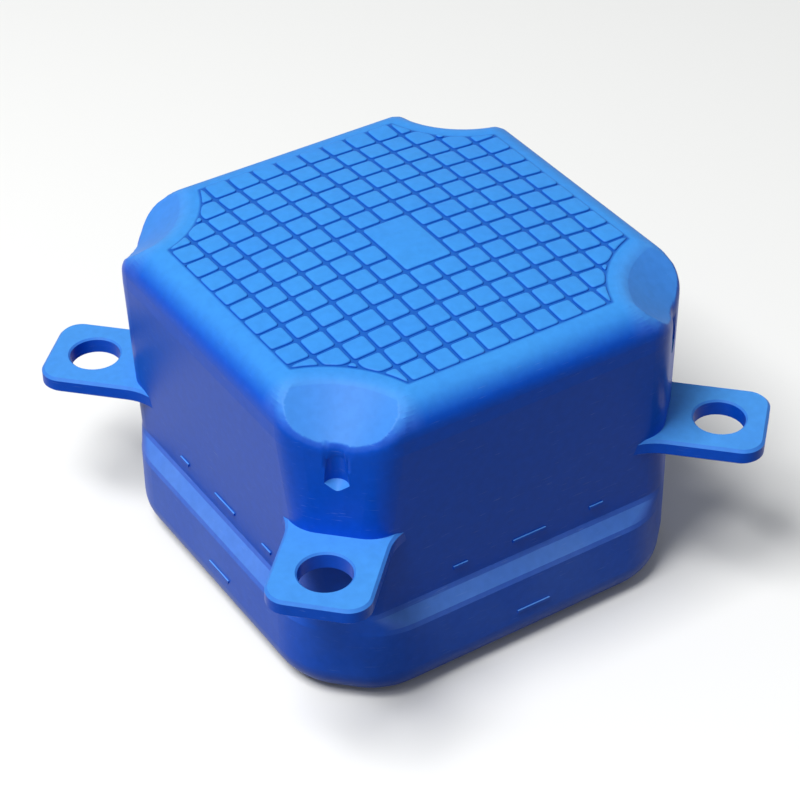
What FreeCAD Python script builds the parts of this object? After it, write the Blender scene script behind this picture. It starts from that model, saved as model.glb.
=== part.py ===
import FreeCAD, Part

import math
import os

import Sketcher

# Modular dock float, blow moulded in one piece from high-density polyethylene.
# It is a hollow box with a crowned grip deck, a pin seat in each deck corner and
# four solid coupling lugs at four levels, so that four floats share one pin.
# Origin: middle of the underside. X and Y run along the walls, Z is up.
doc = FreeCAD.newDocument("dock_float")

# Driving dimensions, in millimetres and degrees
sizes = {
    # Grid of the dock and the box that fills one cell of it
    "pitch": 500.0,
    "seam": 5.0,
    "body_height": 400.0,
    "wall": 6.0,
    # Broad flats inside the rounded edges, where a blown wall flows thicker
    "deck_cavity_break": 20.0,
    "bottom_cavity_break": 24.0,
    # Cut corners, measured from the corner node of the grid
    "corner_gap": 56.0,
    "corner_radius": 44.0,
    # Deck: a flat rim with a shallow dome standing on it
    "crown_radius": 2030.0,
    "crown_rise": 11.0,
    "deck_edge_radius": 37.0,
    # Walls lean in from the shoulder to the waist, then a belt stands out below
    "shoulder_height": 334.0,
    "waist_height": 118.0,
    "waist_inset": 16.5,
    "ledge_rise": 20.0,
    "ledge_edge_radius": 10.0,
    "belt_inset": 2.5,
    "belt_corner_radius": 88.0,
    # Underside
    "bottom_edge_radius": 38.0,
    "recess_inset": 72.0,
    "recess_depth": 7.0,
    "recess_slope": 10.0,
    "recess_corner_cut": 30.0,
    "recess_corner_radius": 20.0,
    "recess_edge_break": 2.0,
    # Pin seat: a cone about the corner node
    "seat_lip_height": 341.0,
    "seat_angle": 39.0,
    "seat_edge_radius": 20.0,
    # Locating dent: a scoop in the corner face, from the seat's lip down to a sloping sill
    "dent_sill_level": 297.0,
    "dent_half_width": 13.0,
    "dent_depth": 10.0,
    "dent_rise": 62.0,
    "dent_top_radius": 10.0,
    "dent_drop": 8.0,
    # Coupling lugs
    "lug_half_width": 55.0,
    "lug_reach": 52.0,
    "lug_thickness": 19.0,
    "lug_step": 20.0,
    "lowest_lug_top": 190.0,
    "lug_corner_radius": 25.0,
    "lug_flare_radius": 60.0,
    "lug_edge_break": 3.0,
    "lug_root_length": 120.0,
    "lug_root_sink": 1.0,
    "bore_diameter": 57.0,
    "bore_edge_break": 2.0,
    # Grip pads
    "pad_pitch": 30.2,
    "pad_gap": 3.8,
    "pad_height": 2.0,
    "pad_root": 1.5,
    "pad_keep_out": 131.0,
    # Moulded ribs on the walls
    "rib_length": 42.0,
    "short_rib_length": 18.0,
    "rib_spacing": 88.0,
    "rib_width": 3.5,
    "rib_height": 1.5,
    "rib_shift": 12.0,
    "rib_level": 143.0,
    "belt_rib_level": 52.0,
}

# Pads in a row, and the middle columns and rows that a plain patch takes
PADS_ACROSS = 14
PATCH_COLUMNS = (6, 8)
PATCH_ROWS = (5, 8)

# Corners of the deck: name, side of the X and Y axes, level of the lug from the lowest
CORNERS = [
    ("front_left", -1, -1, 2),
    ("front_right", 1, -1, 1),
    ("back_right", 1, 1, 3),
    ("back_left", -1, 1, 0),
]

UP = FreeCAD.Vector(0, 0, 1)

# How far a cutter runs past the surface that it cuts
OVERRUN = 12.0

# How far a dome's arc runs to each side, past the deck's corners
DOME_REACH = "(dims.pitch * 0.75)"

sheet = doc.addObject("Spreadsheet::Sheet", "dims")
for row, (alias, number) in enumerate(sizes.items(), start=1):
    sheet.set(f"A{row}", alias)
    sheet.set(f"B{row}", str(number))
    sheet.setAlias(f"B{row}", alias)
doc.recompute()

# Rules for the sizes that follow from the driving ones
DECK_HALF = "(dims.pitch / 2 - dims.seam / 2)"
WAIST_HALF = f"({DECK_HALF} - dims.waist_inset)"
BELT_HALF = f"({DECK_HALF} - dims.belt_inset)"
CORNER_REACH = "(dims.pitch / sqrt(2) - dims.corner_gap)"
DECK_APEX = "(dims.body_height - dims.pad_height)"
RIM_LEVEL = f"({DECK_APEX} - dims.crown_rise)"
BELT_TOP = "(dims.waist_height - dims.ledge_rise)"
NODE = "dims.pitch / 2"


def value_of(rule):
    """Number that a rule of the sheet's sizes gives now."""
    return float(sheet.evalExpression(rule))


def tie(item, **rules):
    """Ties properties of an object to the sheet."""
    for name, rule in rules.items():
        item.setExpression(name, rule)


def tie_place(item, x="0", y="0", z="0", turn="0 deg", holder=".Placement"):
    """Ties where an object stands to the sheet, and its turn about the vertical."""
    item.setExpression(f"{holder}.Base.x", x)
    item.setExpression(f"{holder}.Base.y", y)
    item.setExpression(f"{holder}.Base.z", z)
    if turn is not None:
        item.setExpression(f"{holder}.Rotation.Angle", turn)


def plane_of(body, role):
    """One of a body's own origin planes, such as XY_Plane."""
    return next(item for item in body.Origin.OriginFeatures if item.Role == role)


def new_sketch(body, name, role="XY_Plane", level=None):
    """Empty sketch on one of the body's own planes, lifted to a level."""
    sketch = body.newObject("Sketcher::SketchObject", name)
    sketch.AttachmentSupport = [(plane_of(body, role), "")]
    sketch.MapMode = "FlatFace"
    if level is not None:
        sketch.setExpression(".AttachmentOffset.Base.z", level)
        doc.recompute()
    return sketch


def constrain(sketch, kind, *items, rule=None):
    """Adds one constraint, with its value tied to the sheet where a rule is given."""
    values = items
    if rule is not None:
        size = value_of(rule)
        values += (math.radians(size) if kind == "Angle" else size,)
    index = sketch.addConstraint(Sketcher.Constraint(kind, *values))
    if rule is not None:
        sketch.setExpression(f"Constraints[{index}]", rule)


def fillet(body, name, base, edge_names, radius):
    """Rounds the named edges of a feature with one radius."""
    feature = body.newObject("PartDesign::Fillet", name)
    feature.Base = (base, edge_names)
    tie(feature, Radius=radius)
    doc.recompute()
    return feature


def chamfer(body, name, base, edge_names, width):
    """Breaks the named edges of a feature by one width."""
    feature = body.newObject("PartDesign::Chamfer", name)
    feature.Base = (base, edge_names)
    tie(feature, Size=width)
    doc.recompute()
    return feature


def names_of(shape, wanted):
    """Names of the edges that a test picks."""
    return [f"Edge{index}" for index, edge in enumerate(shape.Edges, start=1) if wanted(edge)]


def outline_names(shape, wanted_face, inner=False):
    """Names of the edges round the outside, or round the inner loops, of the faces that a test picks."""
    picked = []
    for face in filter(wanted_face, shape.Faces):
        outer = face.OuterWire.Edges
        for edge in face.Edges:
            on_outside = any(edge.isSame(item) for item in outer)
            if on_outside != inner:
                picked.append(edge)
    return names_of(shape, lambda edge: any(edge.isSame(item) for item in picked))


def draw_octagon(sketch, half_width, corner_reach, radius):
    """Square plan with four cut corners, and an arc where each cut meets a wall."""
    half = value_of(half_width)
    reach = value_of(corner_reach)
    blend = value_of(radius)
    trim = blend * math.tan(math.pi / 8)
    corner = reach * math.sqrt(2) - half
    slant = FreeCAD.Vector(-1, 1, 0) * (trim / math.sqrt(2))
    for quarter in range(4):
        turn = FreeCAD.Rotation(UP, 90 * quarter)
        start = math.radians(90 * quarter)
        wall_start = turn.multVec(FreeCAD.Vector(half, trim - corner, 0))
        wall_end = turn.multVec(FreeCAD.Vector(half, corner - trim, 0))
        cut_start = turn.multVec(FreeCAD.Vector(half, corner, 0) + slant)
        cut_end = turn.multVec(FreeCAD.Vector(corner, half, 0) - slant)
        near = Part.Circle(turn.multVec(FreeCAD.Vector(half - blend, corner - trim, 0)), UP, blend)
        far = Part.Circle(turn.multVec(FreeCAD.Vector(corner - trim, half - blend, 0)), UP, blend)
        sketch.addGeometry(Part.LineSegment(wall_start, wall_end))
        sketch.addGeometry(Part.ArcOfCircle(near, start, start + math.pi / 4))
        sketch.addGeometry(Part.LineSegment(cut_start, cut_end))
        sketch.addGeometry(Part.ArcOfCircle(far, start + math.pi / 4, start + math.pi / 2))
    for index in range(16):
        constrain(sketch, "Tangent", index, 2, (index + 1) % 16, 1)
    for arc in range(3, 16, 2):
        constrain(sketch, "Equal", 1, arc)
    for quarter in range(4):
        wall = 4 * quarter
        constrain(sketch, "Horizontal" if quarter % 2 else "Vertical", wall)
        constrain(sketch, "Distance", -1, 1, wall, rule=half_width)
        constrain(sketch, "Distance", -1, 1, wall + 2, rule=corner_reach)
    constrain(sketch, "Angle", 2, math.radians(135))
    constrain(sketch, "Perpendicular", 2, 6)
    constrain(sketch, "Parallel", 2, 10)
    constrain(sketch, "Perpendicular", 2, 14)
    constrain(sketch, "Radius", 1, rule=radius)


def prism(body, name, level, tall, half_width, corner_reach, radius):
    """Upright stretch of the box, from a level up."""
    outline = new_sketch(body, f"{name}_outline", level=level)
    draw_octagon(outline, half_width, corner_reach, radius)
    feature = body.newObject("PartDesign::Pad", name)
    feature.Profile = outline
    tie(feature, Length=tall)
    doc.recompute()
    return feature


def loft(body, name, kind, sections):
    """Straight-sided loft through octagon outlines, listed from the bottom up."""
    outlines = []
    for index, (level, half_width, corner_reach, radius) in enumerate(sections):
        outline = new_sketch(body, f"{name}_outline_{index}", level=level)
        draw_octagon(outline, half_width, corner_reach, radius)
        outlines.append(outline)
    feature = body.newObject(kind, name)
    feature.Profile = outlines[0]
    feature.Sections = outlines[1:]
    feature.Ruled = True
    doc.recompute()
    return feature


def crown(body, name, apex, radius, far_level):
    """Cuts away what lies between a level and a shallow dome with its highest point at the apex.

    The dome's arc is swung fore and aft about a line through its own centre far below.
    """
    top = value_of(apex)
    ball = value_of(radius)
    reach = value_of(DOME_REACH)
    far = value_of(far_level)
    fall = ball - math.sqrt(ball ** 2 - reach ** 2)
    half_angle = math.asin(reach / ball)
    dome = Part.Circle(FreeCAD.Vector(0, top - ball, 0), UP, ball)
    right, left = [FreeCAD.Vector(side * reach, top - fall, 0) for side in (1, -1)]
    far_right, far_left = [FreeCAD.Vector(side * reach, far, 0) for side in (1, -1)]
    sketch = new_sketch(body, f"{name}_profile", "XZ_Plane")
    sketch.addGeometry(Part.ArcOfCircle(dome, math.pi / 2 - half_angle, math.pi / 2 + half_angle))
    sketch.addGeometry(Part.LineSegment(left, far_left))
    sketch.addGeometry(Part.LineSegment(far_left, far_right))
    sketch.addGeometry(Part.LineSegment(far_right, right))
    sketch.addGeometry(Part.LineSegment(FreeCAD.Vector(-reach, top - ball, 0),
                                        FreeCAD.Vector(reach, top - ball, 0)), True)
    constrain(sketch, "Coincident", 0, 2, 1, 1)
    constrain(sketch, "Coincident", 1, 2, 2, 1)
    constrain(sketch, "Coincident", 2, 2, 3, 1)
    constrain(sketch, "Coincident", 3, 2, 0, 1)
    constrain(sketch, "Vertical", 1)
    constrain(sketch, "Vertical", 3)
    constrain(sketch, "PointOnObject", 0, 3, -2)
    constrain(sketch, "Symmetric", 2, 1, 2, 2, -2)
    constrain(sketch, "Symmetric", 4, 1, 4, 2, 0, 3)
    constrain(sketch, "Horizontal", 4)
    constrain(sketch, "Vertical", 4, 1, 1, 1)
    constrain(sketch, "Radius", 0, rule=radius)
    constrain(sketch, "DistanceY", 0, 3, -1, 1, rule=f"{radius} - {apex}")
    constrain(sketch, "DistanceX", 2, 1, 2, 2, rule=f"2 * {DOME_REACH}")
    constrain(sketch, "DistanceY", -1, 1, 2, 1, rule=far_level)
    groove = body.newObject("PartDesign::Groove", name)
    groove.Profile = sketch
    groove.ReferenceAxis = (sketch, ["Axis0"])
    groove.Midplane = True
    groove.setExpression("Angle", f"2 * asin({DOME_REACH} / {radius})")
    doc.recompute()
    return groove


def seat_tip(skin):
    """Level of the point where a seat's cone would end, on the line of the corner node."""
    return ("(dims.seat_lip_height - dims.corner_gap * tan(dims.seat_angle * 1 deg)"
            f" - {skin} / cos(dims.seat_angle * 1 deg))")


def cone_cut(body, name, x, y, level, low_radius, high_radius, tall):
    """Cuts an upright cone or a stretch of one."""
    cone = body.newObject("PartDesign::SubtractiveCone", name)
    cone.AttachmentSupport = [(plane_of(body, "XY_Plane"), "")]
    cone.MapMode = "FlatFace"
    tie(cone, Radius1=low_radius, Radius2=high_radius, Height=tall)
    tie_place(cone, x, y, level, None, ".AttachmentOffset")


def cut_pin_seats(body):
    """Cuts a seat about each corner node: a cone that rolls over onto the flat rim of the deck."""
    angle = value_of("dims.seat_angle * 1 deg")
    top_rule = f"dims.body_height + {OVERRUN}"
    tip = value_of(seat_tip("0"))
    rim = value_of(RIM_LEVEL)
    roll = value_of("dims.seat_edge_radius")
    top = value_of(top_rule)
    slant = math.radians(angle)
    mouth = (rim - roll + roll / math.cos(slant) - tip) / math.tan(slant)
    touch = FreeCAD.Vector(mouth - roll * math.sin(slant), rim - roll + roll * math.cos(slant), 0)
    edge = Part.Circle(FreeCAD.Vector(mouth, rim - roll, 0), UP, roll)
    corners = [FreeCAD.Vector(mouth, rim, 0), FreeCAD.Vector(mouth, top, 0), FreeCAD.Vector(0, top, 0),
               FreeCAD.Vector(0, tip, 0)]
    for corner, side_x, side_y, _ in CORNERS:
        sketch = new_sketch(body, f"seat_{corner}_profile", "XZ_Plane")
        tie_place(sketch, f"{NODE} * {side_x}", "0", f"-{NODE} * {side_y}", None, ".AttachmentOffset")
        sketch.addGeometry(Part.ArcOfCircle(edge, math.pi / 2, math.pi / 2 + slant))
        for start, end in zip(corners, corners[1:]):
            sketch.addGeometry(Part.LineSegment(start, end))
        sketch.addGeometry(Part.LineSegment(corners[-1], touch))
        for index in range(4):
            constrain(sketch, "Coincident", index, 1 if index == 0 else 2, index + 1, 1)
        constrain(sketch, "Tangent", 4, 2, 0, 2)
        constrain(sketch, "Vertical", 0, 3, 0, 1)
        constrain(sketch, "Vertical", 1)
        constrain(sketch, "Horizontal", 2)
        constrain(sketch, "Vertical", 3)
        constrain(sketch, "PointOnObject", 3, 2, -2)
        constrain(sketch, "Angle", 4, rule="dims.seat_angle * 1 deg")
        constrain(sketch, "Radius", 0, rule="dims.seat_edge_radius")
        constrain(sketch, "DistanceY", -1, 1, 3, 2, rule=seat_tip("0"))
        constrain(sketch, "DistanceY", -1, 1, 0, 1, rule=RIM_LEVEL)
        constrain(sketch, "DistanceY", -1, 1, 1, 2, rule=top_rule)
        doc.recompute()
        seat = body.newObject("PartDesign::Groove", f"seat_{corner}")
        seat.Profile = sketch
        seat.ReferenceAxis = (sketch, ["V_Axis"])
        seat.Angle = 360
    doc.recompute()


def cut_seat_backs(body):
    """Cuts the cavity back behind each seat, one wall under its cone."""
    tall = f"(dims.body_height + {OVERRUN} - {seat_tip('dims.wall')})"
    for corner, side_x, side_y, _ in CORNERS:
        cone_cut(body, f"seat_back_{corner}", f"{NODE} * {side_x}", f"{NODE} * {side_y}",
                 seat_tip("dims.wall"), "0 mm", f"{tall} / tan(dims.seat_angle * 1 deg)", tall)
    doc.recompute()


def cut_dents(body, name, skin):
    """Cuts a scoop in each corner face, narrowing up to the seat's lip, with a sloping sill below."""
    scoop = "((dims.dent_half_width ^ 2 + dims.dent_depth ^ 2) / (2 * dims.dent_depth))"
    stand_off = f"({scoop} - dims.dent_depth)"
    axis = f"({CORNER_REACH} + {stand_off}) / sqrt(2)"
    for corner, side_x, side_y, _ in CORNERS:
        x, y = f"{axis} * {side_x}", f"{axis} * {side_y}"
        cone_cut(body, f"{name}_dent_scoop_{corner}", x, y, "dims.dent_sill_level",
                 f"{scoop} + {skin}", f"dims.dent_top_radius + {skin}", "dims.dent_rise")
        cone_cut(body, f"{name}_dent_sill_{corner}", x, y, "dims.dent_sill_level - dims.dent_drop",
                 f"{stand_off} + {skin}", f"{scoop} + {skin}", "dims.dent_drop")
    doc.recompute()


def is_flat_at(face, level):
    return face.BoundBox.ZLength < 1e-6 and abs(face.BoundBox.ZMin - level) < 1e-6


def crown_cap(name, skin):
    """Shallow dome on the deck's flat rim, with its foot just below the rim."""
    body = doc.addObject("PartDesign::Body", name)
    sketch = new_sketch(body, f"{name}_disc_outline", level=f"{RIM_LEVEL} - {skin} - dims.pad_root")
    disc_radius = f"sqrt(2 * dims.crown_radius * dims.crown_rise) + {OVERRUN}"
    sketch.addGeometry(Part.Circle(FreeCAD.Vector(), UP, value_of(disc_radius)))
    constrain(sketch, "Coincident", 0, 3, -1, 1)
    constrain(sketch, "Radius", 0, rule=disc_radius)
    disc = body.newObject("PartDesign::Pad", f"{name}_disc")
    disc.Profile = sketch
    tie(disc, Length=f"dims.crown_rise + {2 * OVERRUN}")
    doc.recompute()
    crown(body, f"{name}_dome", f"({DECK_APEX} - {skin})", f"(dims.crown_radius - {skin})",
          f"(dims.body_height + {5 * OVERRUN})")
    return body


def moulded_form(name, skin, soften, bottom_edge, deck_edge, ledge):
    """The box without lugs or pads. The skin is nothing for the outside, or the wall for the cavity.

    The ledge lists levels and half-widths, its lower half round the belt and its upper half at the waist.
    """
    body = doc.addObject("PartDesign::Body", name)
    reach = f"({CORNER_REACH} - {skin})"
    wall_blend = f"(dims.corner_radius - {skin})"
    belt_blend = f"(dims.belt_corner_radius - {skin})"
    deck_half = f"({DECK_HALF} - {skin})"
    belt_half = f"({BELT_HALF} - {skin})"
    belt = prism(body, f"{name}_belt", skin, f"{ledge[0][0]} - {skin}", belt_half, reach, belt_blend)
    floor = value_of(skin)
    bottom_names = outline_names(belt.Shape, lambda face: is_flat_at(face, floor))
    soften(body, f"{name}_bottom_edge", belt, bottom_names, bottom_edge)
    blends = [belt_blend] * (len(ledge) // 2) + [wall_blend] * (len(ledge) - len(ledge) // 2)
    loft(body, f"{name}_walls", "PartDesign::AdditiveLoft", [
        (level, f"({half} - {skin})", reach, blend) for (level, half), blend in zip(ledge, blends)
    ] + [("dims.shoulder_height", deck_half, reach, wall_blend)])
    band_tall = f"{RIM_LEVEL} - dims.shoulder_height - {skin}"
    band = prism(body, f"{name}_band", "dims.shoulder_height", band_tall, deck_half, reach, wall_blend)
    rim = value_of(f"{RIM_LEVEL} - {skin}")
    deck_names = outline_names(band.Shape, lambda face: is_flat_at(face, rim))
    soften(body, f"{name}_deck_edge", band, deck_names, deck_edge)
    recess_half = f"({BELT_HALF} - dims.recess_inset + {skin})"
    recess_reach = f"({recess_half} * sqrt(2) - dims.recess_corner_cut)"
    recess_blend = f"(dims.recess_corner_radius + {skin})"
    recess = loft(body, f"{name}_recess", "PartDesign::SubtractiveLoft", [
        ("0", recess_half, recess_reach, recess_blend),
        (f"dims.recess_depth + {skin}", f"({recess_half} - dims.recess_slope)",
         f"({recess_reach} - dims.recess_slope)", recess_blend),
    ])
    return body, recess


def outer_form():
    """Outside of the box, with a broken edge round the mouth of the recess, seats and dents."""
    step = f"({BELT_HALF} - {WAIST_HALF})"
    run = f"sqrt(dims.ledge_rise ^ 2 + {step} ^ 2)"
    soft = f"(dims.ledge_edge_radius * tan(atan({step} / dims.ledge_rise) / 2))"
    soft_rise = f"({soft} * dims.ledge_rise / {run})"
    soft_step = f"({soft} * {step} / {run})"
    ledge = [
        (f"({BELT_TOP} - {soft})", BELT_HALF),
        (f"({BELT_TOP} + {soft_rise})", f"({BELT_HALF} - {soft_step})"),
        (f"(dims.waist_height - {soft_rise})", f"({WAIST_HALF} + {soft_step})"),
        (f"(dims.waist_height + {soft})", WAIST_HALF),
    ]
    body, recess = moulded_form("outer_form", "0", fillet, "dims.bottom_edge_radius",
                                "dims.deck_edge_radius", ledge)
    mouth = outline_names(recess.Shape, lambda face: is_flat_at(face, 0.0), inner=True)
    chamfer(body, "recess_edge", recess, mouth, "dims.recess_edge_break")
    cut_pin_seats(body)
    cut_dents(body, "outer", "0")
    return body


def cavity():
    """The air inside, one wall in from the outside all round, and more along the rounded edges."""
    ledge = [(BELT_TOP, BELT_HALF), ("dims.waist_height", WAIST_HALF)]
    body, _ = moulded_form("inner_form", "dims.wall", chamfer, "dims.bottom_cavity_break",
                           "dims.deck_cavity_break", ledge)
    cut_seat_backs(body)
    cut_dents(body, "inner", "dims.wall")
    return joined("cavity", [body, crown_cap("ceiling_cap", "dims.wall")])


def is_upright_at(edge, wanted_place):
    box = edge.BoundBox
    upright = box.ZLength > 1 and box.XLength < 1e-6 and box.YLength < 1e-6
    return upright and wanted_place(box.XMin, box.YMin)


def wall_half_at(level):
    """Half-width over the leaning walls at a level between the waist and the shoulder."""
    climb = f"(({level} - dims.waist_height) / (dims.shoulder_height - dims.waist_height))"
    return f"({WAIST_HALF} + dims.waist_inset * {climb})"


def coupling_lug(corner, side_x, side_y, level):
    """Solid ear about one corner node, flared into the walls and bored for the coupling pin."""
    name = f"lug_{corner}"
    foot = f"(dims.lowest_lug_top + {level} * dims.lug_step - dims.lug_thickness)"
    root = f"({NODE} - {wall_half_at(foot)} + dims.lug_root_sink)"
    reach = value_of("dims.lug_reach")
    half = value_of("dims.lug_half_width")
    back = value_of("dims.lug_root_length")
    setback = value_of(root) * math.sqrt(2)
    bend = half + setback
    spread = back - setback
    points = [(reach, -half), (reach, half), (-bend, half),
              (-back, spread), (-back, -spread), (-bend, -half)]
    body = doc.addObject("PartDesign::Body", name)
    sketch = new_sketch(body, f"{name}_outline")
    for start, end in zip(points, points[1:] + points[:1]):
        sketch.addGeometry(Part.LineSegment(FreeCAD.Vector(*start, 0), FreeCAD.Vector(*end, 0)))
    for index in range(6):
        constrain(sketch, "Coincident", index, 2, (index + 1) % 6, 1)
    for index, direction in ((0, "Vertical"), (1, "Horizontal"), (3, "Vertical"), (5, "Horizontal")):
        constrain(sketch, direction, index)
    constrain(sketch, "Angle", 2, math.radians(135))
    constrain(sketch, "Perpendicular", 2, 4)
    distances = ["dims.lug_reach", "dims.lug_half_width", root, "dims.lug_root_length", root,
                 "dims.lug_half_width"]
    for index, rule in enumerate(distances):
        constrain(sketch, "Distance", -1, 1, index, rule=rule)
    plate = body.newObject("PartDesign::Pad", f"{name}_plate")
    plate.Profile = sketch
    tie(plate, Length="dims.lug_thickness")
    doc.recompute()
    tips = names_of(plate.Shape, lambda edge: is_upright_at(edge, lambda x, y: x > 0))
    nose = fillet(body, f"{name}_nose", plate, tips, "dims.lug_corner_radius")
    bends = names_of(nose.Shape, lambda edge: is_upright_at(edge, lambda x, y: abs(x + bend) < 1))
    flare = fillet(body, f"{name}_flare", nose, bends, "dims.lug_flare_radius")
    tip_rims = names_of(flare.Shape, lambda edge: edge.BoundBox.XMin > reach - 1e-6
                        and edge.BoundBox.ZLength < 1e-6)
    rim = chamfer(body, f"{name}_rim", flare, tip_rims, "dims.lug_edge_break")
    bore_sketch = new_sketch(body, f"{name}_bore_outline")
    bore_sketch.addGeometry(Part.Circle(FreeCAD.Vector(), UP, value_of("dims.bore_diameter / 2")))
    constrain(bore_sketch, "Coincident", 0, 3, -1, 1)
    constrain(bore_sketch, "Diameter", 0, rule="dims.bore_diameter")
    bore = body.newObject("PartDesign::Pocket", f"{name}_bore")
    bore.Profile = bore_sketch
    bore.Type = "ThroughAll"
    bore.Midplane = True
    doc.recompute()
    taken = rim.Shape.Volume - bore.Shape.Volume
    expected = value_of("pi * (dims.bore_diameter / 2) ^ 2 * dims.lug_thickness")
    if abs(taken - expected) > expected / 1000:
        raise RuntimeError(f"{name}: the bore took {taken:.0f} of {expected:.0f} cubic millimetres")
    mouth = names_of(bore.Shape, lambda edge: isinstance(edge.Curve, Part.Circle)
                     and abs(edge.Curve.Radius - value_of("dims.bore_diameter / 2")) < 1e-6
                     and edge.BoundBox.ZMin > value_of("dims.lug_thickness") - 1e-6)
    chamfer(body, f"{name}_bore_mouth", bore, mouth, "dims.bore_edge_break")
    heading = math.degrees(math.atan2(side_y, side_x))
    tie_place(body, f"{NODE} * {side_x}", f"{NODE} * {side_y}", foot, f"{heading} deg")
    return body


def joined(name, pieces):
    fuse = doc.addObject("Part::MultiFuse", name)
    fuse.Shapes = pieces
    return fuse


def cut_away(name, base, tool):
    cut = doc.addObject("Part::Cut", name)
    cut.Base = base
    cut.Tool = tool
    return cut


def pad(column, row, columns=1, rows=1):
    """Flat pad over some cells of the grid, sunk a little into the deck and tipped to lie along it."""
    x = f"(dims.pad_pitch * {column + columns / 2 - PADS_ACROSS / 2})"
    y = f"(dims.pad_pitch * {row + rows / 2 - PADS_ACROSS / 2})"
    off_centre = f"sqrt({x} ^ 2 + {y} ^ 2)"
    crown_reach = "sqrt(2 * dims.crown_radius * dims.crown_rise - dims.crown_rise ^ 2)"
    on_crown = value_of(off_centre) < value_of(crown_reach)
    drop = f"(dims.crown_radius - sqrt(dims.crown_radius ^ 2 - {off_centre} ^ 2))"
    level = f"({DECK_APEX} - {drop})" if on_crown else RIM_LEVEL
    tilt = f"asin({off_centre} / dims.crown_radius)" if on_crown else "0 deg"
    box = doc.addObject("Part::Box", f"pad_{column}_{row}")
    tie(box, Length=f"dims.pad_pitch * {columns} - dims.pad_gap",
        Width=f"dims.pad_pitch * {rows} - dims.pad_gap", Height="dims.pad_height + dims.pad_root")
    stand = f"placement(vector({x}; {y}; {level}); rotation(vector(-{y}; {x}; 0); {tilt}))"
    corner = f"vector(-{box.Name}.Length / 2; -{box.Name}.Width / 2; -dims.pad_root)"
    box.setExpression("Placement", f"{stand} * placement({corner}; rotation(0; 0; 0))")
    return box


def grip_pads():
    """Raised square pads round one plain patch, cut back in an arc about each corner node."""
    first_column, end_column = PATCH_COLUMNS
    first_row, end_row = PATCH_ROWS
    pads = [pad(first_column, first_row, end_column - first_column, end_row - first_row)]
    for column in range(PADS_ACROSS):
        for row in range(PADS_ACROSS):
            if not (first_column <= column < end_column and first_row <= row < end_row):
                pads.append(pad(column, row))
    bites = []
    for corner, side_x, side_y, _ in CORNERS:
        bite = doc.addObject("Part::Cylinder", f"pin_clearance_{corner}")
        tie(bite, Radius="dims.pad_keep_out", Height="2 * dims.body_height")
        tie_place(bite, f"{NODE} * {side_x}", f"{NODE} * {side_y}")
        bites.append(bite)
    return cut_away("grip_pads", joined("pad_blanks", pads), joined("pin_clearances", bites))


def wall_ribs():
    """Short moulded ribs on each wall: three in a row over the ledge, and one low on the belt."""
    wall_at_row = wall_half_at("dims.rib_level")
    rows = [
        (-1, "dims.short_rib_length", "dims.rib_level", wall_at_row),
        (0, "dims.rib_length", "dims.rib_level", wall_at_row),
        (1, "dims.short_rib_length", "dims.rib_level", wall_at_row),
        (0, "dims.rib_length", "dims.belt_rib_level", BELT_HALF),
    ]
    ribs = []
    for side, (out_x, out_y) in enumerate(((0, -1), (1, 0), (0, 1), (-1, 0))):
        for number, (step, length, level, wall_at) in enumerate(rows):
            rib = doc.addObject("Part::Box", f"rib_{side}_{number}")
            tie(rib, Length=length, Width="dims.rib_height + dims.wall / 2", Height="dims.rib_width")
            out = f"({wall_at} + dims.rib_height)"
            start = f"(dims.rib_shift + dims.rib_spacing * {step} - {length} / 2)"
            tie_place(rib, f"{out} * {out_x} - {start} * {out_y}", f"{out} * {out_y} + {start} * {out_x}",
                      f"{level} - dims.rib_width / 2", f"{90 * side} deg")
            ribs.append(rib)
    return ribs


outside = joined("outside", [outer_form(), crown_cap("deck_cap", "0")]
                 + [coupling_lug(*corner) for corner in CORNERS] + wall_ribs())
shell = cut_away("hollow_shell", outside, cavity())
float_shell = joined("float_shell", [shell, grip_pads()])
float_shell.Label = "float_shell"
doc.recompute()

failed = [item.Name for item in doc.Objects if "Invalid" in item.State or "Error" in item.State]
if failed:
    raise RuntimeError("These objects failed: " + ", ".join(failed))
shape = float_shell.Shape
if shape.isNull() or not shape.isValid() or len(shape.Solids) != 1:
    raise RuntimeError("The float isn't one valid solid")

os.makedirs("parts", exist_ok=True)
shape.exportStep(f"parts/{float_shell.Label}.step")
print(f"float_shell: {shape.Volume / 1e6:.3f} litres of plastic, {len(shape.Faces)} faces")
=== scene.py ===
import math

import bmesh
import bpy
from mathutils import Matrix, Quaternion, Vector
from mathutils.kdtree import KDTree


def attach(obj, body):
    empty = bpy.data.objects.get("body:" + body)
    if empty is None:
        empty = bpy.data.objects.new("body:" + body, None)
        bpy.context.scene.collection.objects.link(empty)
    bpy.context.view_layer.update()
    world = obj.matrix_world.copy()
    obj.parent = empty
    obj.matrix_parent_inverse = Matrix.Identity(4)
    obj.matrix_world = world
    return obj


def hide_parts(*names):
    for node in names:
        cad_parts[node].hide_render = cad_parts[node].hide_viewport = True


# The float is blow moulded in one piece from high-density polyethylene: a hollow
# box with a padded grip deck, pin seats in its corners and four solid lugs.
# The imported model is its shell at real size; lengths here are in metres.
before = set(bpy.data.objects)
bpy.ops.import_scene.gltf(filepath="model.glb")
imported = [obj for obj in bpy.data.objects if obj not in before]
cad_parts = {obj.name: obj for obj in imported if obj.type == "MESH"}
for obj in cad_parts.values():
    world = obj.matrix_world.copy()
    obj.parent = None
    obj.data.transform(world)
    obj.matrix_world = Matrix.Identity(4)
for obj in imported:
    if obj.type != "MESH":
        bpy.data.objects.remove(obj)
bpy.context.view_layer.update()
MM = 0.001


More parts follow.
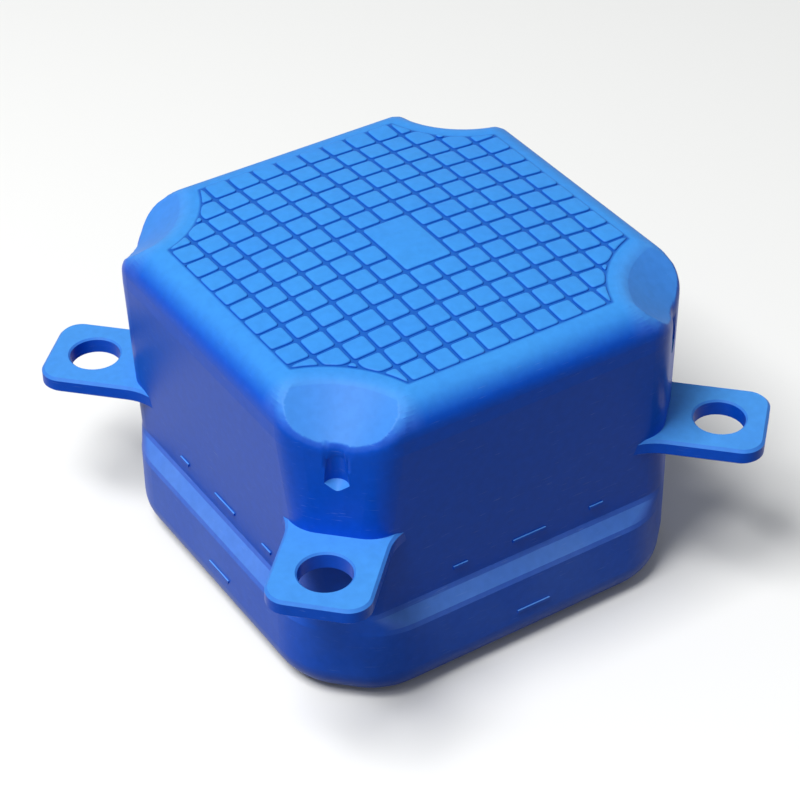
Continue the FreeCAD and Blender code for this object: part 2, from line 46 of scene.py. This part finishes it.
# Polyethylene: every surface of the float is one plastic, coloured right through.
# The blasted mould leaves a satin skin with a faint orange peel, and sun has bleached
# what faces the sky to a lighter blue. The grooves, where neither sun nor feet reach, stay unbleached and
# are darkened further with painted shade.
def linear(hex_colour):
    """Linear RGBA of an sRGB hex colour."""
    channels = [int(hex_colour[place:place + 2], 16) / 255 for place in (1, 3, 5)]
    return [c / 12.92 if c <= 0.04045 else ((c + 0.055) / 1.055) ** 2.4 for c in channels] + [1.0]


def add_node(tree, kind, inputs=None, **settings):
    """Adds a node with its settings; each input is a plain value or a socket to link from."""
    node = tree.nodes.new(kind)
    for name, value in settings.items():
        setattr(node, name, value)
    for name, value in (inputs or {}).items():
        if isinstance(value, bpy.types.NodeSocket):
            tree.links.new(value, node.inputs[name])
        else:
            node.inputs[name].default_value = value
    return node


WALL_BLUE = "#0952cc"
BLEACHED_BLUE = "#388ad6"
# Painted shade for the grooves between the pads, darker than the walls' blue.
GROOVE_SHADE_BLUE = "#0d4ca6"
# Pale film and scuffs: dried water, dust and wear, and on the ledge and in the seats also a painted
# reflection of the sky.
PALE_FILM_AND_SHEEN = "#88abe6"
NOISE_LOW, NOISE_HIGH = 0.3, 0.7
FADE_PATCH = 90.0 * MM
MOTTLE_SIZE = 9.0 * MM
MOTTLE_TONES = (0.95, 1.04)
BLEACH_TILT = 0.3
LEAST_BLEACH = 0.88
CROWN_APEX = 0.398
CROWN_RADIUS = 2.030
RIM_LEVEL = 0.387
GROOVE_DEPTH = 2.0 * MM
GROOVE_SHADE_FADE = (0.9 * GROOVE_DEPTH, 0.3 * GROOVE_DEPTH)
GROOVE_SHADE_SHARE = 0.85
NODE_REACH = 0.25
SEAT_CLEARANCE = 131.0 * MM
PADDED_REACH = 209.5 * MM
PADDED_FADE = 3.0 * MM
WATER_LEVEL = 0.128
WATER_FADE = 12.0 * MM
WATER_FILM = (0.02, 0.1)
# The splash and seat films are partly dust and partly painted reflection of the sky on what faces up.
SPLASH_LEVEL = 0.160
SPLASH_FADE = 5.0 * MM
SPLASH_FILM_AND_SHEEN = 0.22
SEAT_REACH = 125.0 * MM
SEAT_FADE = 15.0 * MM
SEAT_FILM_AND_SHEEN = 0.08
FILM_AND_SHEEN_TILT = (0.12, 0.4)
SCUFF_LENGTH = 22.0 * MM
SCUFF_WIDTH = 1.4 * MM
SCUFF_NOISE = (0.67, 0.76)
SCUFF_SHARE = 0.22
PEEL_SIZE = 2.6 * MM
PEEL_HEIGHT = 0.035 * MM
WALL_ROUGHNESS = 0.36
BLEACHED_ROUGHNESS = 0.5
REFRACTIVE_INDEX = 1.54
SPECULAR_LEVEL = 0.1


def moulded_polyethylene():
    """Satin blow-moulded HDPE: deep blue on the walls, bleached on top, darkened with painted shade in the
    grooves, and paler on the ledge and in the seats with film and painted sky reflection.
    """
    material = bpy.data.materials.new("blow_moulded_hdpe")
    material.use_nodes = True
    tree = material.node_tree
    tree.nodes.clear()
    coords = add_node(tree, "ShaderNodeTexCoord")
    place = coords.outputs["Object"]
    facing = add_node(tree, "ShaderNodeSeparateXYZ", {"Vector": coords.outputs["Normal"]})
    spot = add_node(tree, "ShaderNodeSeparateXYZ", {"Vector": place})
    # Sun bleaches what faces the sky, in uneven patches
    patches = add_node(tree, "ShaderNodeTexNoise", {"Vector": place, "Scale": 1 / FADE_PATCH,
                                                    "Detail": 3.0})
    skyward = add_node(tree, "ShaderNodeMapRange", {"Value": facing.outputs["Z"],
                                                    "From Min": BLEACH_TILT, "From Max": 1.0},
                       interpolation_type="SMOOTHSTEP")
    uneven = add_node(tree, "ShaderNodeMapRange", {"Value": patches.outputs["Fac"],
                                                   "From Min": NOISE_LOW, "From Max": NOISE_HIGH,
                                                   "To Min": LEAST_BLEACH, "To Max": 1.0})
    bleach = add_node(tree, "ShaderNodeMath", {0: skyward.outputs["Result"], 1: uneven.outputs["Result"]},
                      operation="MULTIPLY")
    blue = add_node(tree, "ShaderNodeMix", {"Factor": bleach.outputs["Value"], 6: linear(WALL_BLUE),
                                            7: linear(BLEACHED_BLUE)}, data_type="RGBA")
    # Grooves get painted shade, a blue darker than the walls': they lie just over the deck's own level,
    # between the pads
    across = add_node(tree, "ShaderNodeMath", {0: spot.outputs["X"], 1: spot.outputs["X"]},
                      operation="MULTIPLY")
    off_centre = add_node(tree, "ShaderNodeMath", {0: spot.outputs["Y"], 1: spot.outputs["Y"],
                                                   2: across.outputs["Value"]}, operation="MULTIPLY_ADD")
    dome = add_node(tree, "ShaderNodeMath", {0: off_centre.outputs["Value"], 1: -0.5 / CROWN_RADIUS,
                                             2: CROWN_APEX}, operation="MULTIPLY_ADD")
    deck = add_node(tree, "ShaderNodeMath", {0: dome.outputs["Value"], 1: RIM_LEVEL}, operation="MAXIMUM")
    rise = add_node(tree, "ShaderNodeMath", {0: spot.outputs["Z"], 1: deck.outputs["Value"]},
                    operation="SUBTRACT")
    groove_shade = add_node(tree, "ShaderNodeMapRange", {"Value": rise.outputs["Value"],
                                                   "From Min": GROOVE_SHADE_FADE[0],
                                                   "From Max": GROOVE_SHADE_FADE[1],
                                                   "To Max": GROOVE_SHADE_SHARE},
                      interpolation_type="SMOOTHSTEP")
    in_plan = add_node(tree, "ShaderNodeVectorMath", {0: place, 1: (1.0, 1.0, 0.0)},
                       operation="MULTIPLY")
    folded = add_node(tree, "ShaderNodeVectorMath", {0: in_plan.outputs["Vector"]},
                      operation="ABSOLUTE")
    sides = add_node(tree, "ShaderNodeSeparateXYZ", {"Vector": folded.outputs["Vector"]})
    reach = add_node(tree, "ShaderNodeMath", {0: sides.outputs["X"], 1: sides.outputs["Y"]},
                     operation="MAXIMUM")
    in_rows = add_node(tree, "ShaderNodeMapRange", {"Value": reach.outputs["Value"],
                                                    "From Min": PADDED_REACH + PADDED_FADE,
                                                    "From Max": PADDED_REACH})
    to_seat = add_node(tree, "ShaderNodeVectorMath", {0: folded.outputs["Vector"],
                                                      1: (NODE_REACH, NODE_REACH, 0.0)},
                       operation="DISTANCE")
    clear = add_node(tree, "ShaderNodeMapRange", {"Value": to_seat.outputs["Value"],
                                                  "From Min": SEAT_CLEARANCE - PADDED_FADE,
                                                  "From Max": SEAT_CLEARANCE})
    padded = add_node(tree, "ShaderNodeMath", {0: in_rows.outputs["Result"], 1: clear.outputs["Result"]},
                      operation="MULTIPLY")
    painted_groove_shade = add_node(tree, "ShaderNodeMath", {0: groove_shade.outputs["Result"], 1: padded.outputs["Value"]},
                         operation="MULTIPLY")
    groove_shaded = add_node(tree, "ShaderNodeMix", {"Factor": painted_groove_shade.outputs["Value"], 6: blue.outputs[2],
                                               7: linear(GROOVE_SHADE_BLUE)}, data_type="RGBA")
    # Dried water leaves a pale film on the belt. A pale film is also painted on what faces up on the ledge
    # and in the seats: partly settled dust, partly painted reflection of the sky.
    afloat = add_node(tree, "ShaderNodeMapRange", {"Value": spot.outputs["Z"], "From Min": WATER_LEVEL,
                                                   "From Max": WATER_LEVEL - WATER_FADE},
                      interpolation_type="SMOOTHSTEP")
    film = add_node(tree, "ShaderNodeMapRange", {"Value": patches.outputs["Fac"],
                                                 "From Min": NOISE_LOW, "From Max": NOISE_HIGH,
                                                 "To Min": WATER_FILM[0], "To Max": WATER_FILM[1]})
    splash_film_and_sheen = add_node(tree, "ShaderNodeMapRange", {"Value": spot.outputs["Z"],
                                                     "From Min": SPLASH_LEVEL,
                                                     "From Max": SPLASH_LEVEL - SPLASH_FADE,
                                                     "To Max": SPLASH_FILM_AND_SHEEN})
    seat_film_and_sheen = add_node(tree, "ShaderNodeMapRange", {"Value": to_seat.outputs["Value"],
                                                    "From Min": SEAT_REACH,
                                                    "From Max": SEAT_REACH - SEAT_FADE,
                                                    "To Max": SEAT_FILM_AND_SHEEN})
    standing_film_and_sheen = add_node(tree, "ShaderNodeMath", {0: splash_film_and_sheen.outputs["Result"],
                                                 1: seat_film_and_sheen.outputs["Result"]}, operation="MAXIMUM")
    faces_up = add_node(tree, "ShaderNodeMapRange", {"Value": facing.outputs["Z"],
                                                        "From Min": FILM_AND_SHEEN_TILT[0],
                                                        "From Max": FILM_AND_SHEEN_TILT[1]},
                           interpolation_type="SMOOTHSTEP")
    settled_film_and_sheen = add_node(tree, "ShaderNodeMath", {0: standing_film_and_sheen.outputs["Value"],
                                                1: faces_up.outputs["Result"]}, operation="MULTIPLY")
    grime_and_sheen = add_node(tree, "ShaderNodeMath", {0: afloat.outputs["Result"], 1: film.outputs["Result"],
                                              2: settled_film_and_sheen.outputs["Value"]}, operation="MULTIPLY_ADD")
    # Handling leaves short pale scuffs along the walls
    along = add_node(tree, "ShaderNodeVectorMath", {
        0: place, 1: (1 / SCUFF_LENGTH, 1 / SCUFF_LENGTH, 1 / SCUFF_WIDTH)}, operation="MULTIPLY")
    scratches = add_node(tree, "ShaderNodeTexNoise", {"Vector": along.outputs["Vector"], "Scale": 1.0,
                                                      "Detail": 2.0})
    scuffed = add_node(tree, "ShaderNodeMapRange", {"Value": scratches.outputs["Fac"],
                                                    "From Min": SCUFF_NOISE[0],
                                                    "From Max": SCUFF_NOISE[1],
                                                    "To Max": SCUFF_SHARE})
    upright = add_node(tree, "ShaderNodeMapRange", {"Value": skyward.outputs["Result"], "To Min": 1.0,
                                                    "To Max": 0.0})
    scuffs_grime_and_sheen = add_node(tree, "ShaderNodeMath", {0: scuffed.outputs["Result"],
                                               1: upright.outputs["Result"],
                                               2: grime_and_sheen.outputs["Value"]}, operation="MULTIPLY_ADD")
    filmed_and_sheened = add_node(tree, "ShaderNodeMix", {"Factor": scuffs_grime_and_sheen.outputs["Value"], 6: groove_shaded.outputs[2],
                                              7: linear(PALE_FILM_AND_SHEEN)}, data_type="RGBA")
    # The plastic itself is a little mottled, and its skin has the mould's orange peel
    mottle = add_node(tree, "ShaderNodeTexNoise", {"Vector": place, "Scale": 1 / MOTTLE_SIZE,
                                                   "Detail": 2.0})
    tone = add_node(tree, "ShaderNodeMapRange", {"Value": mottle.outputs["Fac"],
                                                 "From Min": NOISE_LOW, "From Max": NOISE_HIGH,
                                                 "To Min": MOTTLE_TONES[0], "To Max": MOTTLE_TONES[1]})
    colour = add_node(tree, "ShaderNodeHueSaturation", {"Value": tone.outputs["Result"],
                                                        "Color": filmed_and_sheened.outputs[2]})
    roughness = add_node(tree, "ShaderNodeMapRange", {"Value": bleach.outputs["Value"],
                                                      "To Min": WALL_ROUGHNESS,
                                                      "To Max": BLEACHED_ROUGHNESS})
    peel = add_node(tree, "ShaderNodeTexNoise", {"Vector": place, "Scale": 1 / PEEL_SIZE,
                                                 "Detail": 2.0})
    bump = add_node(tree, "ShaderNodeBump", {"Height": peel.outputs["Fac"], "Distance": PEEL_HEIGHT,
                                             "Strength": 1.0})
    shader = add_node(tree, "ShaderNodeBsdfPrincipled", {
        "Base Color": colour.outputs["Color"], "Roughness": roughness.outputs["Result"],
        "IOR": REFRACTIVE_INDEX, "Specular IOR Level": SPECULAR_LEVEL,
        "Normal": bump.outputs["Normal"]})
    add_node(tree, "ShaderNodeOutputMaterial", {"Surface": shader.outputs["BSDF"]})
    return material


polyethylene = moulded_polyethylene()


# Hull: the box with its lugs, ledge, seats and dents, blown in one piece. As a blown skin drapes over
# its mould, the lips of the seats and the edges of the dents roll over softly, each dent runs out at the
# lip of its seat, and the crown of the deck meets the flat rim without a crease.
CROWN_FOOT = math.sqrt(CROWN_RADIUS ** 2 - (CROWN_RADIUS - CROWN_APEX + RIM_LEVEL) ** 2)
CROWN_BLEND = 16.0 * MM
WELD_DISTANCE = 0.002 * MM
PAD_TRACE = 0.3 * MM
DECK_TRACE = 0.2 * MM
SEAT_SLOPE = math.tan(math.radians(39))
CORNER_GAP = 56.0 * MM
SEAT_LIP_LEVEL = 0.341
SEAT_TIP = SEAT_LIP_LEVEL - CORNER_GAP * SEAT_SLOPE
BOWL_TRACE = 0.3 * MM
DENT_SILL = 0.297
DENT_RISE = 62.0 * MM
DENT_RADII = (13.45 * MM, 10.0 * MM)
DENT_STAND_OFF = 3.45 * MM
DENT_NICK = 0.35
DENT_EDGE_TRACE = 0.3 * MM
DENT_WALL_TRACE = 0.4 * MM
DENT_TOP_STEPS = 4
LIP_TURN = math.radians(20)
LIP_LEVELS = (0.333, 0.386)
LIP_ROLL = 14.0 * MM
LIP_BOWL_ROLL = 4.0 * MM
DENT_LEVELS = (0.299, 0.345)
DENT_ROLL = 3.5 * MM
UPRIGHT_SHARE = 0.8
LIP_GRAIN = 2.5 * MM
SPLIT_PASSES = 9
LIP_PASSES = 40
LIP_SHARE = 0.6


def deck_level(x, y):
    """Level of the deck between its pads: a shallow dome on a flat rim."""
    off_centre = math.hypot(x, y)
    if off_centre > CROWN_FOOT:
        return RIM_LEVEL
    return CROWN_APEX - CROWN_RADIUS + math.sqrt(CROWN_RADIUS ** 2 - off_centre ** 2)


def deck_normal(x, y):
    """Way the deck faces, turned smoothly from the dome to the rim."""
    off_centre = max(math.hypot(x, y), 1e-9)
    past = min(max((off_centre - CROWN_FOOT + CROWN_BLEND) / (2 * CROWN_BLEND), 0.0), 1.0)
    slope = off_centre / CROWN_RADIUS * (1 - past * past * (3 - 2 * past))
    return Vector((x / off_centre * slope, y / off_centre * slope, 1.0)).normalized()


def outer_skin(work):
    """Vertices joined to the lowest one, without the skin of the sealed space inside."""
    waiting = [min(work.verts, key=lambda v: v.co.z)]
    skin = set(waiting)
    while waiting:
        for edge in waiting.pop().link_edges:
            for vertex in edge.verts:
                if vertex not in skin:
                    skin.add(vertex)
                    waiting.append(vertex)
    return skin


def marks_along(edges):
    """Tree of points a millimetre apart along some edges."""
    marks = []
    for edge in edges:
        steps = max(int(edge.calc_length() / MM), 1)
        marks += [edge.verts[0].co.lerp(edge.verts[1].co, step / steps) for step in range(steps + 1)]
    tree = KDTree(len(marks))
    for index, mark in enumerate(marks):
        tree.insert(mark, index)
    tree.balance()
    return tree


def from_node(spot):
    """Distance from a spot to the upright line through the nearest corner node."""
    return math.hypot(abs(spot.x) - NODE_REACH, abs(spot.y) - NODE_REACH)


def roll_crisp_edges(work, kept, levels, roll, bowl_roll, upright):
    """Rolls the crisp edges between two levels over, as a blown skin drapes across a mould's edge."""
    skin = outer_skin(work)
    crisp = []
    for edge in work.edges:
        first, last = edge.verts[0].co, edge.verts[1].co
        if (edge.verts[0] in skin and len(edge.link_faces) == 2 and edge.calc_face_angle() > LIP_TURN
                and all(levels[0] < vertex.co.z < levels[1] for vertex in edge.verts)
                and upright == (abs(first.z - last.z) > UPRIGHT_SHARE * edge.calc_length())):
            crisp.append(edge)
    marks = marks_along(crisp)
    for _ in range(SPLIT_PASSES):
        coarse = []
        for edge in work.edges:
            first, last = edge.verts[0].co, edge.verts[1].co
            length = (first - last).length
            if length < LIP_GRAIN or max(first.z, last.z) < levels[0] - roll or edge.verts[0] not in skin:
                continue
            if from_node(first.lerp(last, 0.5)) > SEAT_REACH + length / 2:
                continue
            steps = int(length / roll) + 1
            if any(marks.find(first.lerp(last, step / steps))[2] < roll for step in range(steps + 1)):
                coarse.append(edge)
        if not coarse:
            break
        bmesh.ops.subdivide_edges(work, edges=coarse, cuts=1)
        bmesh.ops.triangulate(work, faces=[face for face in work.faces if len(face.verts) > 3])
        skin = outer_skin(work)
    rolled = {}
    for vertex in skin:
        in_bowl = vertex.co.z > SEAT_TIP + from_node(vertex.co) * SEAT_SLOPE - BOWL_TRACE
        reach = marks.find(vertex.co)[2] / (bowl_roll if in_bowl else roll)
        if reach < 1:
            neighbours = [edge.other_vert(vertex) for edge in vertex.link_edges]
            rolled[vertex] = (LIP_SHARE * (1 - reach * reach * (3 - 2 * reach)), neighbours)
    for _ in range(LIP_PASSES):
        moved = {}
        for vertex, (share, neighbours) in rolled.items():
            middle = sum((other.co for other in neighbours), Vector()) / len(neighbours)
            moved[vertex] = vertex.co.lerp(middle, share)
        for vertex, spot in moved.items():
            vertex.co = spot
    work.normal_update()
    for vertex in rolled:
        for loop in vertex.link_loops:
            loop[kept] = vertex.normal


def dent_depth(level, aside):
    """Depth of a dent's scoop behind the corner face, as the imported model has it."""
    radius = DENT_RADII[0] + (DENT_RADII[1] - DENT_RADII[0]) * (level - DENT_SILL) / DENT_RISE
    return math.sqrt(max(radius ** 2 - aside ** 2, 0.0)) - DENT_STAND_OFF


def ease_dents(work):
    """Draws each dent out to the corner face as it rises, so that it only nicks the lip of the seat."""
    for vertex in outer_skin(work):
        spot = vertex.co
        aside = (abs(spot.x) - abs(spot.y)) / math.sqrt(2)
        depth = NODE_REACH * math.sqrt(2) - CORNER_GAP - (abs(spot.x) + abs(spot.y)) / math.sqrt(2)
        if not (DENT_SILL < spot.z < DENT_SILL + DENT_RISE and abs(aside) < DENT_RADII[0]
                and DENT_EDGE_TRACE < depth < dent_depth(spot.z, aside) + DENT_WALL_TRACE):
            continue
        top = DENT_SILL + DENT_RISE
        for _ in range(DENT_TOP_STEPS):
            deepest = dent_depth(top, aside)
            top = SEAT_TIP + math.hypot(aside, CORNER_GAP + deepest) * SEAT_SLOPE
        eased_top = SEAT_TIP + math.hypot(aside, CORNER_GAP + deepest * DENT_NICK) * SEAT_SLOPE
        share = min((spot.z - DENT_SILL) / (top - DENT_SILL), 1.0)
        drawn = depth * (1 - DENT_NICK) * share * share * (3 - 2 * share) / math.sqrt(2)
        vertex.co = (spot.x + math.copysign(drawn, spot.x), spot.y + math.copysign(drawn, spot.y),
                     spot.z - share * (top - eased_top))


def bare_hull(packed):
    """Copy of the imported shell's mesh without its pads, with the way each corner faces kept."""
    mesh = packed.data.copy()
    mesh.name = "hull"
    facing = mesh.attributes.new("facing", "FLOAT_VECTOR", "CORNER")
    ways = [number for corner in mesh.corner_normals for number in corner.vector]
    facing.data.foreach_set("vector", ways)
    work = bmesh.new()
    work.from_mesh(mesh)
    bmesh.ops.remove_doubles(work, verts=work.verts, dist=WELD_DISTANCE)
    on_pads = [v for v in work.verts if v.co.z > deck_level(v.co.x, v.co.y) + PAD_TRACE]
    bmesh.ops.delete(work, geom=on_pads, context="VERTS")
    kept = work.loops.layers.float_vector["facing"]
    rims = [edge for edge in work.edges if edge.is_boundary]
    filled = bmesh.ops.holes_fill(work, edges=rims, sides=0)["faces"]
    bmesh.ops.triangulate(work, faces=filled)
    for face in work.faces:
        face.smooth = True
        on_deck = all(vertex.co.z > RIM_LEVEL - DECK_TRACE for vertex in face.verts)
        for loop in face.loops:
            spot = loop.vert.co
            if on_deck and abs(spot.z - deck_level(spot.x, spot.y)) < DECK_TRACE:
                loop[kept] = deck_normal(spot.x, spot.y)
    roll_crisp_edges(work, kept, DENT_LEVELS, DENT_ROLL, DENT_ROLL, upright=True)
    ease_dents(work)
    roll_crisp_edges(work, kept, LIP_LEVELS, LIP_ROLL, LIP_BOWL_ROLL, upright=False)
    work.to_mesh(mesh)
    work.free()
    normals = [corner.vector[:] for corner in mesh.attributes["facing"].data]
    mesh.attributes.remove(mesh.attributes["facing"])
    mesh.normals_split_custom_set(normals)
    return mesh


def placed(name, mesh):
    piece = bpy.data.objects.new(name, mesh)
    bpy.context.scene.collection.objects.link(piece)
    return piece


hull = placed("hull", bare_hull(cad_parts["float_shell"]))
hull.data.materials.clear()
hull.data.materials.append(polyethylene)
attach(hull, "root")
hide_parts("float_shell")


# Grip pads: low square cushions moulded up out of the deck, with round corners and
# rolled edges, in a grid of fourteen each way. An arc about each pin seat cuts them
# back, and the six in the middle are one plain patch.
PADS_ACROSS = 14
PAD_PITCH = 30.2 * MM
PAD_GAP = 2.6 * MM
PAD_CORNER = 4.0 * MM
PAD_HEIGHT = 2.0 * MM
ARC_SOFTNESS = 4.0 * MM
CROWN_SOFTNESS = 1.6 * MM
PATCH_COLUMNS = (6, 8)
PATCH_ROWS = (5, 8)
SEAT_CENTRES = [Vector((x, y)) * NODE_REACH for x in (-1, 1) for y in (-1, 1)]
SMALLEST_PAD = 1.6 * MM
PAD_ROOM = 4.5 * MM
WHOLE_PAD_SHARE = 0.95
HUB_STEPS = 8
PAD_SPOKES = 44
PATCH_SPOKES = 112
OUTLINE_HALVINGS = 16
# Steps in from the pad's outline and up from the deck, over its rolled edge
PAD_SECTION = [(0.0, -0.8 * MM), (0.1 * MM, 0.3 * MM), (0.5 * MM, 1.0 * MM), (1.1 * MM, 1.55 * MM),
               (1.9 * MM, 1.88 * MM), (2.8 * MM, PAD_HEIGHT)]


def soft_max(first, second, softness):
    """The larger of two numbers, blended over a small range where they meet."""
    overlap = max(softness - abs(first - second), 0.0) / softness
    return max(first, second) + overlap * overlap * softness / 4


def outside_pad(point, middle, half_x, half_y):
    """Distance from a point to a pad's outline, less than nothing inside it."""
    x = abs(point.x - middle.x) - half_x + PAD_CORNER
    y = abs(point.y - middle.y) - half_y + PAD_CORNER
    distance = math.hypot(max(x, 0.0), max(y, 0.0)) + min(max(x, y), 0.0) - PAD_CORNER
    for centre in SEAT_CENTRES:
        distance = soft_max(distance, SEAT_CLEARANCE - (point - centre).length, ARC_SOFTNESS)
    return distance


def pad_top(x, y):
    """Level that the pads stand on, with the crown running softly into the rim."""
    dome = CROWN_APEX - CROWN_RADIUS + math.sqrt(CROWN_RADIUS ** 2 - x * x - y * y)
    return soft_max(dome, RIM_LEVEL, CROWN_SOFTNESS)


def add_pad(points, faces, column, row, columns=1, rows=1):
    """Adds one cushion over some cells of the grid, as rings of points from its foot to its top."""
    middle = Vector((column + columns / 2 - PADS_ACROSS / 2,
                     row + rows / 2 - PADS_ACROSS / 2)) * PAD_PITCH
    half_x = (columns * PAD_PITCH - PAD_GAP) / 2
    half_y = (rows * PAD_PITCH - PAD_GAP) / 2
    hub = middle
    if outside_pad(middle, middle, half_x, half_y) > -min(half_x, half_y) * WHOLE_PAD_SHARE:
        steps = range(-HUB_STEPS, HUB_STEPS + 1)
        trials = [middle + Vector((half_x * across / HUB_STEPS, half_y * along / HUB_STEPS))
                  for across in steps for along in steps]
        hub = min(trials, key=lambda trial: outside_pad(trial, middle, half_x, half_y))
    room = -outside_pad(hub, middle, half_x, half_y)
    if room < SMALLEST_PAD:
        return
    slope = min(room / PAD_ROOM, 1.0)
    spokes = PAD_SPOKES if columns == 1 else PATCH_SPOKES
    base = len(points)
    for inset, height in PAD_SECTION:
        for spoke in range(spokes):
            angle = 2 * math.pi * spoke / spokes
            way = Vector((math.cos(angle), math.sin(angle)))
            near, far = 0.0, 2 * (half_x + half_y)
            for _ in range(OUTLINE_HALVINGS):
                reach = (near + far) / 2
                if outside_pad(hub + way * reach, middle, half_x, half_y) < -inset * slope:
                    near = reach
                else:
                    far = reach
            spot = hub + way * near
            points.append((spot.x, spot.y, pad_top(spot.x, spot.y) + height))
    for ring in range(len(PAD_SECTION) - 1):
        for spoke in range(spokes):
            low = base + ring * spokes + spoke
            low_next = base + ring * spokes + (spoke + 1) % spokes
            faces.append((low, low_next, low_next + spokes, low + spokes))
    last = base + (len(PAD_SECTION) - 1) * spokes
    points.append((hub.x, hub.y, pad_top(hub.x, hub.y) + PAD_HEIGHT))
    for spoke in range(spokes):
        faces.append((last + spoke, last + (spoke + 1) % spokes, len(points) - 1))


pad_points, pad_faces = [], []
add_pad(pad_points, pad_faces, PATCH_COLUMNS[0], PATCH_ROWS[0], PATCH_COLUMNS[1] - PATCH_COLUMNS[0],
        PATCH_ROWS[1] - PATCH_ROWS[0])
for column in range(PADS_ACROSS):
    for row in range(PADS_ACROSS):
        if not (column in range(*PATCH_COLUMNS) and row in range(*PATCH_ROWS)):
            add_pad(pad_points, pad_faces, column, row)
pad_mesh = bpy.data.meshes.new("grip_pads")
pad_mesh.from_pydata(pad_points, [], pad_faces)
pad_mesh.shade_smooth()
grip_pads = placed("grip_pads", pad_mesh)
grip_pads.data.materials.append(polyethylene)
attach(grip_pads, "root")
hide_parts("float_shell")


# Studio: a pale floor under one broad lamp, high on the camera's left, for the
# daylight on the deck, and a dim lamp just behind the camera. The floor throws less
# light back on the walls than it shows the camera.
FLOOR_HALF = 30.0
FLOOR_SEEN = "#ececea"
FLOOR_LIGHTING = "#4a5056"
floor_mesh = bpy.data.meshes.new("floor")
floor_corners = [(x * FLOOR_HALF, y * FLOOR_HALF, 0.0) for x, y in ((-1, -1), (1, -1), (1, 1), (-1, 1))]
floor_mesh.from_pydata(floor_corners, [], [(0, 1, 2, 3)])
floor = placed("floor", floor_mesh)


def seen_directly(tree):
    """One for a ray from the camera, a reflection or glass, and nothing for light that is scattered."""
    path = add_node(tree, "ShaderNodeLightPath")
    mirrored = add_node(tree, "ShaderNodeMath", {0: path.outputs["Is Camera Ray"],
                                                 1: path.outputs["Is Glossy Ray"]},
                        operation="MAXIMUM")
    return add_node(tree, "ShaderNodeMath", {0: mirrored.outputs["Value"],
                                             1: path.outputs["Is Transmission Ray"]},
                    operation="MAXIMUM").outputs["Value"]


floor_paint = bpy.data.materials.new("pale_floor")
floor_paint.use_nodes = True
floor_tree = floor_paint.node_tree
floor_tree.nodes.clear()
floor_colour = add_node(floor_tree, "ShaderNodeMix", {"Factor": seen_directly(floor_tree),
                                                      6: linear(FLOOR_LIGHTING),
                                                      7: linear(FLOOR_SEEN)}, data_type="RGBA")
floor_shader = add_node(floor_tree, "ShaderNodeBsdfDiffuse", {"Color": floor_colour.outputs[2]})
add_node(floor_tree, "ShaderNodeOutputMaterial", {"Surface": floor_shader.outputs["BSDF"]})
floor.data.materials.append(floor_paint)


LAMP_AIM = Vector((0.0, 0.0, 0.2))


def area_lamp(name, size, power, place):
    """Square lamp turned to the middle of the float."""
    lamp = bpy.data.objects.new(name, bpy.data.lights.new(name, "AREA"))
    lamp.data.size = size
    lamp.data.energy = power
    lamp.location = place
    lamp.rotation_euler = (LAMP_AIM - Vector(place)).to_track_quat("-Z", "Y").to_euler()
    bpy.context.scene.collection.objects.link(lamp)


area_lamp("daylight_lamp", size=3.0, power=480.0, place=(-2.7, -0.5, 5.8))
area_lamp("fill_lamp", size=2.0, power=3.0, place=(-1.8, -2.6, 1.6))

SKY_WHITE = "#eef2f6"
SKY_LIGHTING = 0.27
SKY_SEEN = 0.95
world = bpy.data.worlds.new("studio")
world.use_nodes = True
world_tree = world.node_tree
sky = world_tree.nodes["Background"]
sky.inputs["Color"].default_value = linear(SKY_WHITE)
sky_strength = add_node(world_tree, "ShaderNodeMapRange", {"Value": seen_directly(world_tree),
                                                           "To Min": SKY_LIGHTING,
                                                           "To Max": SKY_SEEN})
world_tree.links.new(sky_strength.outputs["Result"], sky.inputs["Strength"])
bpy.context.scene.world = world
bpy.context.scene.view_settings.view_transform = "Standard"


# Camera: it stands where the photographer stood, but is turned to this float,
# with a long lens and a slight roll.
CAMERA_PLACE = Vector((-1.1856, -1.8444, 1.8712))
CAMERA_AIM = Vector((0.0, 0.0, 0.178))
CAMERA_ROLL = math.radians(0.4)
LENS_LENGTH = 112.0
SENSOR_WIDTH = 36.0
camera = placed("camera", bpy.data.cameras.new("camera"))
camera.data.lens = LENS_LENGTH
camera.data.sensor_width = SENSOR_WIDTH
camera.location = CAMERA_PLACE
camera.rotation_mode = "QUATERNION"
line_of_sight = CAMERA_AIM - CAMERA_PLACE
camera.rotation_quaternion = (Quaternion(line_of_sight.normalized(), CAMERA_ROLL)
                              @ line_of_sight.to_track_quat("-Z", "Y"))
bpy.context.scene.camera = camera
